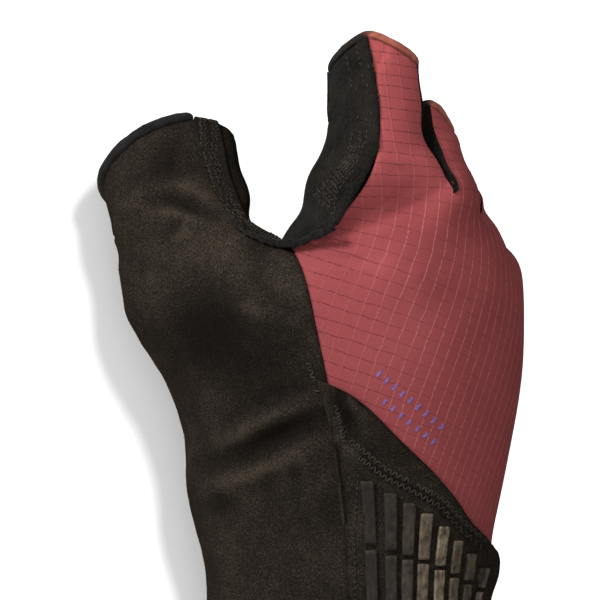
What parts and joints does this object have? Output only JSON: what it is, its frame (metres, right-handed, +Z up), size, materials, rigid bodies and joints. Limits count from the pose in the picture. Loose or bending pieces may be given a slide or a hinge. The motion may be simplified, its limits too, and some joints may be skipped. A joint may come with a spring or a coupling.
{
  "type": "cycling glove",
  "caption": "Right-hand short-finger cycling glove with a suede palm and thumb, a ripstop back and a slanting wrist flap with grip bars, lying palm down.",
  "frame": {"origin": "under the middle of the glove, on the surface that it lies on", "axes": "+Z up, +Y from the cuff towards the fingers, the thumb on the -X side"},
  "size_m": [0.1108, 0.16, 0.071],
  "materials": {
    "suede": "synthetic suede, matt nap",
    "dark_suede": "synthetic suede, matt nap",
    "ripstop": "woven ripstop, matt",
    "knit": "stretch knit, matt",
    "binding": "folded elastic binding",
    "coral_hem": "turned hem, matt",
    "silicone": "printed silicone, satin"
  },
  "bodies": {
    "root": {"back_panel": "ripstop", "palm_panel": "suede", "thumb_panel": "suede", "thumb_gusset": "dark_suede", "index_side_panel": "knit", "little_side_panel": "knit", "fourchette_index_middle": "knit", "fourchette_middle_ring": "knit", "fourchette_ring_little": "knit", "index_hem": "coral_hem", "middle_hem": "coral_hem", "ring_hem": "coral_hem", "little_hem": "coral_hem", "thumb_binding": "binding", "cuff_binding": "binding", "web_piping": "binding", "wrist_flap": "suede", "grip_bar_upper_1": "silicone", "grip_bar_upper_2": "silicone", "grip_bar_upper_3": "silicone", "grip_bar_upper_4": "silicone", "grip_bar_upper_5": "silicone", "grip_bar_upper_6": "silicone", "grip_bar_upper_7": "silicone", "grip_bar_upper_8": "silicone", "grip_bar_upper_9": "silicone", "grip_bar_upper_10": "silicone", "grip_bar_lower_1": "silicone", "grip_bar_lower_2": "silicone", "grip_bar_lower_3": "silicone", "grip_bar_lower_4": "silicone", "grip_bar_lower_5": "silicone", "grip_bar_lower_6": "silicone", "grip_bar_lower_7": "silicone", "grip_bar_lower_8": "silicone", "grip_bar_lower_9": "silicone", "grip_bar_lower_10": "silicone"}
  },
  "joints": []
}
